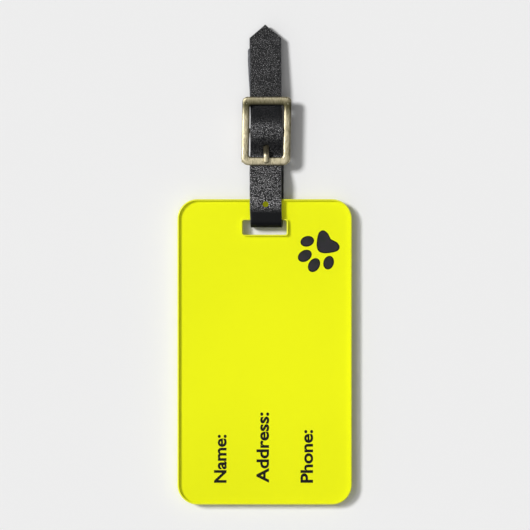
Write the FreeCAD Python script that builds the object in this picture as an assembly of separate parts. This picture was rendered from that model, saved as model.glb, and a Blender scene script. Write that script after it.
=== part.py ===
import FreeCAD, Part
import math
import os

# Luggage tag: a printed acrylic card on a buckled leather strap, lying face up.
# Millimetres. +Z is up out of the printed face, +Y points to the strap's tip, X runs
# across the card. The origin is at the middle of the outline, on the resting surface.

V = FreeCAD.Vector
CLEAR = 0.1
BEYOND = 60.0
OVERCUT = 1.0

# Card
CARD_W = 50.8
CARD_L = 88.9
CARD_T = 3.0
CARD_CORNER = 5.8
CARD_EDGE_ROUND = 0.7
PRINT_T = 0.1
PRINT_INSET = 0.2
CORE_T = 0.4
BOND_GAP = 0.06
SLOT_W = 12.8
SLOT_H = 4.2
SLOT_CORNER = 0.5
SLOT_TO_EDGE = 6.15
SLOT_EDGE_ROUND = 0.3

# Strap
STRAP_W = 9.25
STRAP_T = 1.2
FOLD_T = 0.8
STRAP_X = 0.45
TIP_REACH = 50.8
TIP_POINT = 3.9
BEND_REACH = 8.3
BEND_R = 1.3
HOLE_R = 0.85
SPARE_HOLE_REACH = 1.5
PRONG_HOLE = (13.3, 17.9)
PRONG_HOLE_W = 2.2
SLIT_W = 2.4
SLIT_AT_BAR = (18.3, 22.9)
SLIT_START = 14.0
FLAP_END = 8.4
BACK_LIFT = 9.8
BACK_LIFT_R = 6.0
BACK_END = 17.0
WRAP_START = 17.26
WRAP_IN_R = 2.0
FLAP_CREST = 19.0
FLAP_CREST_R = 1.5
FLAP_FALL = 15.2
FLAP_FALL_R = 4.0
END_LAP = 2.0
LAYER_GAP = 0.05
BAR_GAP = 0.3
CREST_GAP = 0.08
FRONT_FALL = 5.5
LOW_DIP = (9.8, 12.9)
CREST = (18.6, 21.2)
TOP_DIP = (27.2, 32.5)
FRONT_FALL_R = 4.0
DIP_R = 3.0
CREST_R = 2.0
TAIL_R = 20.0
TIP_DROP = 1.7

# Buckle
FRAME_W = 14.1
FRAME_H = 19.9
FRAME_LOW = 9.85
FRAME_CORNER = 1.5
FRAME_LOW_CORNER = 2.2
RAIL_W = 2.05
LOW_BAR_W = 2.35
TOP_BAR_W = 2.45
FRAME_T = 1.4
FRAME_ROUND = 0.55
WINDOW_CORNER = 0.7
BAR_R = 0.75
BAR_Y = 19.9
BAR_Z = 4.1
EAR_R = 1.2
EAR_FOOT = 17.6
CHEEK = 15.2
FRAME_Z = 5.0
PRONG_T = 1.1
PRONG_W = 1.7
PRONG_RISE = (15.8, 12.9)
PRONG_SAG = 0.25
PRONG_TIP = 10.25
EYE_R = 1.35
EYE_CLEAR = 0.05
WRAP_CLEAR = 0.07

# Stitches through the fold
STITCH_ROWS = (9.5, 12.6)
STITCH_XS = (-2.9, 0.0, 2.9)
STITCH_L = 2.2
THREAD = 0.4
THREAD_INSET = 0.05

# Flex lines of the strap: where the leather bends
FLEX_Y = 5.0
FLEX_R = 3.4
TAIL_FLEX_Y = 31.6
TAIL_FLEX_R = 0.95

# Heights and places that follow. Strap and buckle places are measured up from the
# card's top edge, so TOP moves them into the row frame.
TOP = CARD_L / 2 - (CARD_L + TIP_REACH) / 2 + CARD_L / 2
CARD_Z = STRAP_T + CLEAR
FRONT_Z = CARD_Z + CARD_T + CLEAR + STRAP_T / 2
BACK_Z = STRAP_T / 2
UNDER_BAR_Z = FRAME_Z - BAR_GAP - STRAP_T / 2
WRAP_R = BAR_R + WRAP_CLEAR + FOLD_T / 2
CREST_Z = BAR_Z + WRAP_R + FOLD_T / 2 + CREST_GAP + STRAP_T / 2
FLAP_OFFSET = (STRAP_T + FOLD_T) / 2 + LAYER_GAP
BACK_SLOPE = (BAR_Z - WRAP_R - BACK_Z) / (WRAP_START - BACK_LIFT)
BACK_SECANT = math.hypot(1, BACK_SLOPE)
FLEX_Z = (BACK_Z + FRONT_Z) / 2
RUN_SPLIT_Z = UNDER_BAR_Z - STRAP_T / 2 - LAYER_GAP


def at(reach, z):
    """A point of the side profile, `reach` above the card's top edge."""
    return V(0, TOP + reach, z)


def back_height(reach):
    """Height of the back run's middle. It leaves the surface and climbs to the bar."""
    return BACK_Z + BACK_SLOPE * max(0.0, reach - BACK_LIFT)


def left_normal(direction):
    return V(0, -direction.z, direction.y).normalize()


def rounded_path(points, radii):
    """Straight runs joined by tangent arcs: each piece is its points and their left normals."""
    pieces = []
    start = points[0]
    for before, corner, after, radius in zip(points, points[1:], points[2:], radii):
        into = (corner - before).normalize()
        out = (after - corner).normalize()
        turn = into.getAngle(out)
        cut = radius * math.tan(turn / 2)
        arc_start = corner - into * cut
        arc_end = corner + out * cut
        side = 1 if left_normal(into).dot(out) > 0 else -1
        centre = arc_start + left_normal(into) * (side * radius)
        middle = centre + (corner - centre).normalize() * radius
        run_normal = left_normal(into)
        pieces.append([(start, run_normal), (arc_start, run_normal)])
        pieces.append([(p, (centre - p).normalize() * side) for p in (arc_start, middle, arc_end)])
        start = arc_end
    last_normal = left_normal(points[-1] - points[-2])
    pieces.append([(start, last_normal), (points[-1], last_normal)])
    return pieces


def edge_through(points):
    if len(points) == 3:
        return Part.Arc(*points).toShape()
    return Part.LineSegment(*points).toShape()


def ribbon(points, radii, thickness, width, x_centre):
    """A strip of constant thickness whose side profile follows the rounded path."""
    pieces = rounded_path(points, radii)
    edges = []
    for offset in (thickness / 2, -thickness / 2):
        for piece in pieces:
            edges.append(edge_through([p + n * offset for p, n in piece]))
    for p, n in (pieces[0][0], pieces[-1][-1]):
        edges.append(Part.LineSegment(p + n * thickness / 2, p - n * thickness / 2).toShape())
    face = Part.Face(Part.Wire(Part.__sortEdges__(edges)))
    face.translate(V(x_centre - width / 2, 0, 0))
    return face.extrude(V(width, 0, 0))


def block(x0, x1, y0, y1, z0, z1):
    return Part.makeBox(x1 - x0, y1 - y0, z1 - z0, V(x0, y0, z0))


def prism(outline, x0, x1):
    """A side-profile outline pushed along X."""
    face = Part.Face(Part.makePolygon(outline + outline[:1]))
    face.translate(V(x0, 0, 0))
    return face.extrude(V(x1 - x0, 0, 0))


def across(radius, length, centre, x_centre=STRAP_X):
    """A cylinder along X about a point of the side profile."""
    start = V(x_centre - length / 2, centre.y, centre.z)
    return Part.makeCylinder(radius, length, start, V(1, 0, 0))


def rounded_plate(width, y0, y1, radius, z0, z1, x_centre=0.0, low_radius=None):
    """A plate with four rounded corners, standing on z0. The two low corners may differ."""
    plate = block(x_centre - width / 2, x_centre + width / 2, y0, y1, z0, z1)
    uprights = [e for e in plate.Edges if abs(e.tangentAt(e.FirstParameter).z) > 0.9]
    if low_radius is None:
        return plate.makeFillet(radius, uprights)
    middle = (y0 + y1) / 2
    plate = plate.makeFillet(radius, [e for e in uprights if e.BoundBox.YMin > middle])
    low = [e for e in plate.Edges if e.BoundBox.YMax - y0 < CLEAR and e.BoundBox.ZLength > CLEAR
           and e.BoundBox.XLength < CLEAR]
    return plate.makeFillet(low_radius, low)


def edges_at(shape, z):
    return [e for e in shape.Edges if abs(e.BoundBox.ZMin - z) < 1e-6 > abs(e.BoundBox.ZMax - z)]


# ---------------------------------------------------------------- card

def card_slot(grow, z0, z1):
    y1 = TOP - SLOT_TO_EDGE + grow
    y0 = TOP - SLOT_TO_EDGE - SLOT_H - grow
    return rounded_plate(SLOT_W + 2 * grow, y0, y1, SLOT_CORNER + grow, z0, z1)


def card_layer(inset, z0, z1):
    """One layer of the card with its strap slot."""
    width = CARD_W - 2 * inset
    plate = rounded_plate(width, TOP - CARD_L + inset, TOP - inset, CARD_CORNER - inset, z0, z1)
    return plate.cut(card_slot(inset, z0 - OVERCUT, z1 + OVERCUT))


def cover(z0, z1, outer_z):
    """A clear cover, its outside edges rounded round the rim and round the slot."""
    width = CARD_W
    plate = rounded_plate(width, TOP - CARD_L, TOP, CARD_CORNER, z0, z1)
    plate = plate.makeFillet(CARD_EDGE_ROUND, edges_at(plate, outer_z))
    plate = plate.cut(card_slot(0, z0 - 1, z1 + 1))
    rim = [e for e in edges_at(plate, outer_z) if slot_edge(e)]
    return plate.makeFillet(SLOT_EDGE_ROUND, rim)


def slot_edge(edge):
    box = edge.BoundBox
    inside_x = max(abs(box.XMin), abs(box.XMax)) < SLOT_W / 2 + CLEAR
    return inside_x and box.YMin > TOP - SLOT_TO_EDGE - SLOT_H - CLEAR


def card_parts():
    layer_z = CARD_Z + (CARD_T - CORE_T) / 2 - PRINT_T
    core_z = layer_z + PRINT_T
    top_z = core_z + CORE_T
    return {
        "back_cover": cover(CARD_Z, layer_z - BOND_GAP, CARD_Z),
        "back_print": card_layer(PRINT_INSET, layer_z, core_z),
        "card_core": card_layer(PRINT_INSET, core_z, top_z),
        "front_print": card_layer(PRINT_INSET, top_z, top_z + PRINT_T),
        "front_cover": cover(top_z + PRINT_T + BOND_GAP, CARD_Z + CARD_T, CARD_Z + CARD_T),
    }


# ---------------------------------------------------------------- strap

def whole_strip():
    """The one leather strip: back run, bend through the slot, front run and tail."""
    bend = -BEND_REACH + STRAP_T / 2
    route = [
        (at(BACK_END, back_height(BACK_END)), 0),
        (at(BACK_LIFT, BACK_Z), BACK_LIFT_R),
        (at(bend, BACK_Z), BEND_R),
        (at(bend, FRONT_Z), BEND_R),
        (at(FRONT_FALL, FRONT_Z), FRONT_FALL_R),
        (at(LOW_DIP[0], UNDER_BAR_Z), FRONT_FALL_R),
        (at(LOW_DIP[1], UNDER_BAR_Z), DIP_R),
        (at(CREST[0], CREST_Z), CREST_R),
        (at(CREST[1], CREST_Z), CREST_R),
        (at(TOP_DIP[0], UNDER_BAR_Z), DIP_R),
        (at(TOP_DIP[1], UNDER_BAR_Z), TAIL_R),
        (at(TIP_REACH, UNDER_BAR_Z - TIP_DROP), 0),
    ]
    points = [p for p, _ in route]
    radii = [r for _, r in route[1:-1]]
    return ribbon(points, radii, STRAP_T, STRAP_W, STRAP_X)


def turned_end():
    """The skived end of the strip, wrapped round the centre bar and laid back as a flap."""
    wrap_far = BAR_Y + WRAP_R
    rise = FLAP_OFFSET * BACK_SECANT
    flat_from = BACK_LIFT - (rise - FLAP_OFFSET) / BACK_SLOPE
    points = [
        at(BACK_END - END_LAP, back_height(BACK_END - END_LAP)),
        at(WRAP_START, BAR_Z - WRAP_R),
        at(wrap_far, BAR_Z - WRAP_R),
        at(wrap_far, BAR_Z + WRAP_R),
        at(FLAP_CREST, BAR_Z + WRAP_R),
        at(FLAP_FALL, back_height(FLAP_FALL) + rise),
        at(flat_from, BACK_Z + FLAP_OFFSET),
        at(FLAP_END, BACK_Z + FLAP_OFFSET),
    ]
    radii = [WRAP_IN_R, WRAP_R, WRAP_R, FLAP_CREST_R, FLAP_FALL_R, BACK_LIFT_R - FLAP_OFFSET]
    return ribbon(points, radii, FOLD_T, STRAP_W, STRAP_X)


def flex_cutter(centre, radius, toward):
    """The space on one side of a flex line, ending in a round nose about the line."""
    y0, y1 = sorted((centre.y, centre.y + toward * 2 * BEYOND))
    half_space = block(-BEYOND, BEYOND, y0, y1, -BEYOND, BEYOND)
    return half_space.fuse(across(radius, BEYOND, centre))


def tip_cutter():
    """What is cut away beside the pointed tip."""
    shoulder = TOP + TIP_REACH - TIP_POINT
    tip = TOP + TIP_REACH
    half = STRAP_W / 2
    outline = [
        (-half - 1, shoulder),
        (-half, shoulder),
        (0, tip),
        (half, shoulder),
        (half + 1, shoulder),
        (half + 1, tip + 1),
        (-half - 1, tip + 1),
    ]
    corners = [V(STRAP_X + x, y, 0) for x, y in outline]
    return Part.Face(Part.makePolygon(corners + corners[:1])).extrude(V(0, 0, 10))


def prong_hole():
    """The stretched hole that the prong comes up through."""
    low, high = PRONG_HOLE
    return rounded_plate(
        PRONG_HOLE_W, TOP + low, TOP + high, PRONG_HOLE_W / 2 - 0.01, 0, BEYOND, STRAP_X
    )


def prong_slit():
    """The slit in the turned end: through both layers at the bar, through the flap below it."""
    x0, x1 = STRAP_X - SLIT_W / 2, STRAP_X + SLIT_W / 2
    low, high = SLIT_AT_BAR
    above = STRAP_T / 2 * BACK_SECANT + LAYER_GAP / 2
    at_bar = block(x0, x1, TOP + low, TOP + high, 0, BEYOND)
    outline = [
        at(SLIT_START, back_height(SLIT_START) + above),
        at(WRAP_START, back_height(WRAP_START) + above),
        at(high, back_height(WRAP_START) + above),
        at(high, BEYOND),
        at(SLIT_START, BEYOND),
    ]
    return at_bar.fuse(prism(outline, x0, x1))


def stitch(x, reach):
    """One stitch: a loop of thread through both layers, flush with them."""
    middle = back_height(reach)
    low = middle - STRAP_T / 2 + THREAD / 2 + THREAD_INSET
    high = middle + FLAP_OFFSET + FOLD_T / 2 - THREAD / 2
    half = STITCH_L / 2
    start = V(STRAP_X + x - half, TOP + reach, low)
    corners = [start, start + V(2 * half, 0, 0), V(start.x + 2 * half, start.y, high)]
    corners.append(V(start.x, start.y, high))
    loop = None
    for a, b in zip(corners, corners[1:] + corners[:1]):
        run = Part.makeCylinder(THREAD / 2, (b - a).Length, a, b - a)
        knuckle = Part.makeSphere(THREAD / 2, a)
        piece = run.fuse(knuckle)
        loop = piece if loop is None else loop.fuse(piece)
    return loop.removeSplitter()


def strap_parts():
    strip = whole_strip().cut(tip_cutter())
    flex = at(FLEX_Y, FLEX_Z)
    tail_flex = at(TAIL_FLEX_Y, UNDER_BAR_Z)
    below = block(-BEYOND, BEYOND, -BEYOND, TOP + BACK_END + STRAP_T, -BEYOND, RUN_SPLIT_Z)
    spare = Part.makeCylinder(HOLE_R, BEYOND, V(STRAP_X, TOP - SPARE_HOLE_REACH, FLEX_Z))
    loop = strip.common(flex_cutter(flex, FLEX_R, -1)).cut(spare)

    upper = strip.cut(flex_cutter(flex, FLEX_R + CLEAR, -1))
    back_run = upper.common(below)
    front = upper.cut(below).cut(flex_cutter(tail_flex, TAIL_FLEX_R + CLEAR, 1))
    front = front.cut(prong_hole())
    tail = strip.common(flex_cutter(tail_flex, TAIL_FLEX_R, 1))

    stitches = [stitch(x, reach) for reach in STITCH_ROWS for x in STITCH_XS]
    fold = back_run.fuse(turned_end()).removeSplitter().cut(prong_slit())
    for one in stitches:
        fold = fold.cut(one)
    return {
        "strap_fold": fold,
        "strap_front": front,
        "strap_loop": loop,
        "strap_tail": tail,
        "fold_stitches": Part.makeCompound(stitches),
    }


# ---------------------------------------------------------------- buckle

def frame_ears():
    """Deep cheeks below the side rails, with a round ear in each that holds the centre bar."""
    foot = EAR_FOOT / 2
    root_z = FRAME_Z + FRAME_T / 2
    outline = [
        at(BAR_Y - foot, root_z),
        at(BAR_Y - CHEEK / 2, BAR_Z),
        at(BAR_Y + CHEEK / 2, BAR_Z),
        at(BAR_Y + foot, root_z),
    ]
    web = prism(outline, 0, RAIL_W)
    end = Part.makeCylinder(EAR_R, RAIL_W, at(BAR_Y, BAR_Z), V(1, 0, 0))
    ear = web.fuse(end)
    ears = []
    for x in (-FRAME_W / 2, FRAME_W / 2 - RAIL_W):
        one = ear.copy()
        one.translate(V(STRAP_X + x, 0, 0))
        ears.append(one)
    return ears


def buckle_frame():
    """Rectangular cast frame with soft edges and two ears for the centre bar."""
    low = TOP + FRAME_LOW
    high = low + FRAME_H
    top_z = FRAME_Z + FRAME_T
    plate = rounded_plate(
        FRAME_W, low, high, FRAME_CORNER, FRAME_Z, top_z, STRAP_X, FRAME_LOW_CORNER
    )
    inner_w = FRAME_W - 2 * RAIL_W
    window = rounded_plate(
        inner_w, low + LOW_BAR_W, high - TOP_BAR_W, WINDOW_CORNER, FRAME_Z - 1, top_z + 1, STRAP_X
    )
    plate = plate.cut(window)
    plate = plate.makeFillet(FRAME_ROUND, edges_at(plate, top_z) + edges_at(plate, FRAME_Z))
    frame = plate.fuse(frame_ears()).removeSplitter()
    return frame.cut(across(BAR_R, FRAME_W + 2 * OVERCUT, at(BAR_Y, BAR_Z)))


def prong():
    """Bent prong: an eye round the centre bar, a low run, a rise and a tip over the low bar."""
    rest_z = FRAME_Z + FRAME_T + EYE_CLEAR + PRONG_T / 2
    points = [
        at(BAR_Y, BAR_Z),
        at(PRONG_RISE[0], BAR_Z + PRONG_SAG),
        at(PRONG_RISE[1], rest_z),
        at(PRONG_TIP, rest_z),
    ]
    body = ribbon(points, [1.0, 1.0], PRONG_T, PRONG_W, STRAP_X)
    body = body.fuse(across(EYE_R, PRONG_W, at(BAR_Y, BAR_Z))).removeSplitter()
    return body.cut(across(BAR_R + EYE_CLEAR, PRONG_W + 2, at(BAR_Y, BAR_Z)))


def buckle_parts():
    return {
        "buckle_frame": buckle_frame(),
        "centre_bar": across(BAR_R, FRAME_W - 0.2, at(BAR_Y, BAR_Z)),
        "buckle_prong": prong(),
    }


# ---------------------------------------------------------------- write

def main():
    os.makedirs("parts", exist_ok=True)
    parts = {**card_parts(), **strap_parts(), **buckle_parts()}
    for name, shape in parts.items():
        assert shape.isValid(), name
        shape.exportStep(f"parts/{name}.step")
        box = shape.BoundBox
        print(f"{name:14s} {shape.ShapeType:9s} solids {len(shape.Solids)} volume {shape.Volume:8.2f}"
              f"  x {box.XMin:.2f}..{box.XMax:.2f} y {box.YMin:.2f}..{box.YMax:.2f}"
              f" z {box.ZMin:.2f}..{box.ZMax:.2f}")


main()
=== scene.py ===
import math

import bmesh
import bpy
import numpy as np
from mathutils import Matrix, Vector


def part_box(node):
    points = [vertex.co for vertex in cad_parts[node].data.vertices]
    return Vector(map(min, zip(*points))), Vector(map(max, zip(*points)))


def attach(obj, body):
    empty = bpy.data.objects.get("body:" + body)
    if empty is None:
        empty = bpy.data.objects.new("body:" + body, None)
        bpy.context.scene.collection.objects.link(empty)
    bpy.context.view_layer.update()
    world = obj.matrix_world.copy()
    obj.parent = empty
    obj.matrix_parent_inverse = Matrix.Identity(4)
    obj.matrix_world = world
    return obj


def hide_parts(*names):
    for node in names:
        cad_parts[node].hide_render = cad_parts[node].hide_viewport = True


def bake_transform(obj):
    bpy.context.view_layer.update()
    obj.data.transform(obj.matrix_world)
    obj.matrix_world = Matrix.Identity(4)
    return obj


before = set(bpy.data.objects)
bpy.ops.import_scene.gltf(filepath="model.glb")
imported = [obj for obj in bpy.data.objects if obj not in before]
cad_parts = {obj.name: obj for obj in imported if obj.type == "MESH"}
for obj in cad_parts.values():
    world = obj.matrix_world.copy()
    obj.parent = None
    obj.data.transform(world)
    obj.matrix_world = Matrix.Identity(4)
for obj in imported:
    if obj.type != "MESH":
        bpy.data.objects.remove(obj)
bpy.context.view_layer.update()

# The looks of a luggage tag: leather strap, brass buckle and printed acrylic card.
# Lengths in this file are millimetres, turned into metres where a mesh is made.
MM = 0.001


def box(node):
    """A node's lowest and highest corners, in millimetres."""
    low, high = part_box(node)
    return Vector(low) / MM, Vector(high) / MM


# Places read from the frame. "Reach" is a distance above the card's top edge.
CARD_LOW, CARD_HIGH = box("front_cover")
BACK_LOW, BACK_HIGH = box("back_cover")
PRINT_TOP = box("front_print")[1].z
LOOP_LOW, LOOP_HIGH = box("strap_loop")
FRAME_LOW, FRAME_HIGH = box("buckle_frame")
PRONG_LOW, PRONG_HIGH = box("buckle_prong")
FRONT_HIGH = box("strap_front")[1]
TAIL_LOW, TAIL_HIGH = box("strap_tail")
TIP = TAIL_HIGH.y
TOP = CARD_HIGH.y
BAR_LOW, BAR_HIGH = box("centre_bar")
BAR = (BAR_LOW + BAR_HIGH) / 2
BAR_R = (BAR_HIGH.z - BAR_LOW.z) / 2
BAR_REACH = BAR.y - TOP
STRAP_X = BAR.x

# Strap. FLAP_END, BACK_LIFT, WRAP_START, TAIL_START and the prong hole's ends are reaches.
STRAP_HALF = (LOOP_HIGH.x - LOOP_LOW.x) / 2
STRAP_T = 1.2
FOLD_T = 0.8
BAR_PLAY = 0.07
WRAP_R = BAR_R + BAR_PLAY + FOLD_T / 2
LAYER_GAP = 0.05
FLAP_OFFSET = (STRAP_T + FOLD_T) / 2 + LAYER_GAP
FLAP_END = 8.4
BACK_Z = STRAP_T / 2
BACK_LIFT = 9.8
WRAP_START = 17.26
BACK_SLOPE = (BAR.z - WRAP_R - BACK_Z) / (WRAP_START - BACK_LIFT)
FRONT_Z = LOOP_HIGH.z - STRAP_T / 2
CREST_Z = FRONT_HIGH.z - STRAP_T / 2
UNDER_BAR_Z = TAIL_HIGH.z - STRAP_T / 2
TIP_Z = TAIL_LOW.z + STRAP_T / 2
BEND = LOOP_LOW.y - TOP + STRAP_T / 2
TAIL_START = 28.9
STATION = 0.16
SPARE_HOLE_REACH = -1.5
SPARE_HOLE_R = 0.85
PRONG_HOLE_TOP = (13.2, 16.0)
PRONG_HOLE_UNDER = (13.6, 17.8)
PRONG_HOLE_HALF = 1.05
SLIT_HALF = 1.2
TIP_POINT = 3.9
STITCH_REACHES = (9.5, 12.6)
STITCH_XS = (-2.9, 0.0, 2.9)
STITCH_HALF = 1.1
STITCH_DRIFT = 0.4
STITCH_DIVE = 0.42
THREAD_R = 0.13
TWIST_R = 0.085
TWIST_TURNS = 2.5
THREAD_SINK_UNDER = 0.20
THREAD_SINK_OVER = 0.16

# The strip's relief. SKIVE is past the wrap, and the TAIL_LIP pairs are before the shoulder.
# EDGE_THIN is a share of the thickness. A wave is its height, its rate and its phase by side.
SKIVE = (3, 9)
EDGE_THIN = 0.05
EDGE_SAG = 0.04
RIM_DENT = 0.13
RIM_SWELL = 0.05
RIM_WIDTH = 0.22
STITCH_DENT = 0.26
STITCH_DENT_R = 0.42
EDGE_WAVES = ((0.012, 1.3, 1.1), (0.008, 3.1, 0.0))
TAIL_LIP = 0.5
TAIL_LIP_GROWS = (19, 6)
TAIL_LIP_ENDS = (3.6, 2.8)
CREST_BULGE = 0.27
CREST_BULGE_WIDTH = 1.3

# The grain's tone and painted light. A band is its reach, its width and how much it adds. The
# bands are painted highlights along the front run, brightest over the spare hole, and on the crest
# over the centre bar; the window between the bars and the bend get painted shade.
GREY_BASE = 0.36
PAINTED_HIGHLIGHT_BANDS = ((8.5, 4.2, 0.72), (-1.0, 1.7, 1.0), (2.5, 4.0, 0.48))
CREST_PAINTED_HIGHLIGHT = (19.9, 1.9, 0.95)
WINDOW_STARTS = (12.2, 13.2)
WINDOW_ENDS = (26.5, 28.5)
WINDOW_PAINTED_SHADE = 0.33
WINDOW_SMOOTH = 0.8
BEND_FADES = (-4.2, -2.0)
BEND_SMOOTH = 0.95

# Buckle. The sides stand out from the frame's box by FRAME_OUT: left, right, low. Corner radii
# are low, then high. A bar's tone is its gain across the bar and its value at the inner edge. The
# tones paint shade on the top and low bars toward the window, and paint each rail lighter on its
# left side, which faces the key light.
FRAME_T = 1.1
FRAME_TOP_Z = FRAME_HIGH.z - 0.3
FRAME_OUT = (0.05, 0.15, 0.05)
FRAME_CORNERS = (2.2, 1.5)
WINDOW_CORNERS = (0.7, 0.7)
FRAME_SQUARE = 0.6
RAIL_W = 2.2
LOW_BAR_W = 2.4
TOP_BAR_W = 2.45
EAR_R = 1.2
CHEEK = 8.2
CHEEK_TOP = 9.3
FRAME_LEAN = 0.02
TOP_TONE_AND_PAINTED_SHADE = (0.65, 0.0)
LOW_TONE_AND_PAINTED_SHADE = (0.5, 0.55)
LEFT_TONE_AND_PAINTED_LIGHT = (0.45, 0.4)
RIGHT_TONE_AND_PAINTED_LIGHT = (0.4, 0.34)
PRONG_T = 1.1
PRONG_SQUARE = 0.8
PRONG_RUB = 0.62
EYE_R = 1.33
EAR_PLAY = 0.03
EYE_PLAY = 0.04

# Card
CARD_CORNER = 5.8
CARD_EDGE_ROUND = 0.35
SLOT_HALF_W = 6.4
SLOT_H = 4.2
SLOT_REACH = -6.15
SLOT_CORNER = 0.5
SLOT_EDGE_ROUND = 0.3
PAW_RIM_LIFT = 0.015
LABEL_LIFT = 0.025
PAW_FILL_LIFT = 0.03


# ---------------------------------------------------------------- mesh helpers

def linked_object(name, data):
    """A new object in the scene."""
    obj = bpy.data.objects.new(name, data)
    bpy.context.scene.collection.objects.link(obj)
    return obj


def shade_smooth(mesh):
    """Smooth shading on every face."""
    mesh.polygons.foreach_set("use_smooth", [True] * len(mesh.polygons))


def mesh_object(name, verts, faces, smooth=True):
    """An object from points in millimetres."""
    mesh = bpy.data.meshes.new(name)
    mesh.from_pydata([tuple(c * MM for c in v) for v in verts], [], faces)
    mesh.validate()
    mesh.update()
    if smooth:
        shade_smooth(mesh)
    return linked_object(name, mesh)


def built_mesh(name, bm):
    """Turns a finished bmesh into a mesh."""
    mesh = bpy.data.meshes.new(name)
    bm.to_mesh(mesh)
    bm.free()
    return mesh


def evaluated_mesh(obj):
    """The mesh that an object's modifiers or letters make."""
    bpy.context.view_layer.update()
    graph = bpy.context.evaluated_depsgraph_get()
    return bpy.data.meshes.new_from_object(obj.evaluated_get(graph))


def points_of(mesh):
    """A mesh's points in millimetres, as an array."""
    co = np.empty(len(mesh.vertices) * 3)
    mesh.vertices.foreach_get("co", co)
    return co.reshape(-1, 3) / MM


def point_values(mesh, name, values):
    """Stores one number for each point, for a material to read."""
    layer = mesh.attributes.new(name, "FLOAT", "POINT")
    layer.data.foreach_set("value", values.astype(np.float32))


def apply_modifiers(obj):
    """Replaces the object's mesh by what its modifiers make of it."""
    mesh = evaluated_mesh(obj)
    obj.modifiers.clear()
    obj.data = mesh
    return obj


def cut(obj, cutter):
    """Cuts one closed mesh out of another, and removes the cutter."""
    modifier = obj.modifiers.new("cut", "BOOLEAN")
    modifier.object = cutter
    modifier.operation = "DIFFERENCE"
    modifier.solver = "EXACT"
    apply_modifiers(obj)
    bpy.data.objects.remove(cutter)


def loft(name, loops, caps=True):
    """A skin over loops of equal length, with or without faces at its two ends."""
    count = len(loops[0])
    verts = [p for loop in loops for p in loop]
    faces = []
    for i in range(len(loops) - 1):
        for k in range(count):
            a, b = i * count + k, i * count + (k + 1) % count
            faces.append((a, b, b + count, a + count))
    if caps:
        faces.append(tuple(reversed(range(count))))
        faces.append(tuple(range((len(loops) - 1) * count, len(loops) * count)))
    return mesh_object(name, verts, faces)


def merge_objects(name, objects):
    """Joins meshes into one object."""
    bm = bmesh.new()
    for obj in objects:
        bm.from_mesh(obj.data)
        bpy.data.objects.remove(obj)
    mesh = built_mesh(name, bm)
    shade_smooth(mesh)
    return linked_object(name, mesh)


def cast_solid(obj, voxel, rounds):
    """Fuses a mesh of overlapping solids into one cast shape with soft inside corners."""
    remesh = obj.modifiers.new("fuse", "REMESH")
    remesh.mode = "VOXEL"
    remesh.voxel_size = voxel * MM
    remesh.use_smooth_shade = True
    smooth = obj.modifiers.new("soften", "SMOOTH")
    smooth.factor = 0.5
    smooth.iterations = rounds
    return apply_modifiers(obj)


def cylinder_across(radius, length, y, z, x, segments=48):
    """A closed cylinder along X."""
    loops = []
    for end in (-length / 2, length / 2):
        ring = []
        for k in range(segments):
            a = 2 * math.pi * k / segments
            ring.append((x + end, y + radius * math.cos(a), z + radius * math.sin(a)))
        loops.append(ring)
    return loft("cutter", loops)


def rounded_rectangle(x0, x1, y0, y1, radii, segments=12):
    """Points round a rectangle, anticlockwise from its low right corner. radii: low, then high."""
    low, high = radii
    corners = (
        (x1 - low, y0 + low, low, -90), (x1 - high, y1 - high, high, 0),
        (x0 + high, y1 - high, high, 90), (x0 + low, y0 + low, low, 180),
    )
    points = []
    for cx, cy, radius, start in corners:
        for k in range(segments + 1):
            a = math.radians(start + 90 * k / segments)
            points.append((cx + radius * math.cos(a), cy + radius * math.sin(a)))
    return points


def closed_spline(points, steps=10):
    """A smooth closed curve through points in a plane."""
    out = []
    n = len(points)
    for i in range(n):
        p0, p1, p2, p3 = (np.array(points[(i + k - 1) % n]) for k in range(4))
        for k in range(steps):
            t = k / steps
            square = (2 * p0 - 5 * p1 + 4 * p2 - p3) * t ** 2
            cube = (3 * p1 - p0 - 3 * p2 + p3) * t ** 3
            out.append(tuple(0.5 * (2 * p1 + (p2 - p0) * t + square + cube)))
    return out


# ---------------------------------------------------------------- strap

def rounded_route(points, radii):
    """Fine points along straight runs joined by tangent arcs, as an array of (reach, z)."""
    out = [np.array(points[0], float)]
    for before, corner, after, radius in zip(points, points[1:], points[2:], radii):
        before, corner, after = (np.array(p, float) for p in (before, corner, after))
        into = (corner - before) / np.linalg.norm(corner - before)
        away = (after - corner) / np.linalg.norm(after - corner)
        turn = math.atan2(into[0] * away[1] - into[1] * away[0], into.dot(away))
        reach = radius * math.tan(abs(turn) / 2)
        start = corner - into * reach
        centre = start + np.array([-into[1], into[0]]) * math.copysign(radius, turn)
        steps = max(2, int(abs(turn) * radius / 0.05))
        for k in range(steps + 1):
            a = turn * k / steps
            arm = start - centre
            out.append(centre + np.array([
                arm[0] * math.cos(a) - arm[1] * math.sin(a),
                arm[0] * math.sin(a) + arm[1] * math.cos(a)]))
    out.append(np.array(points[-1], float))
    return np.array(out)


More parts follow.
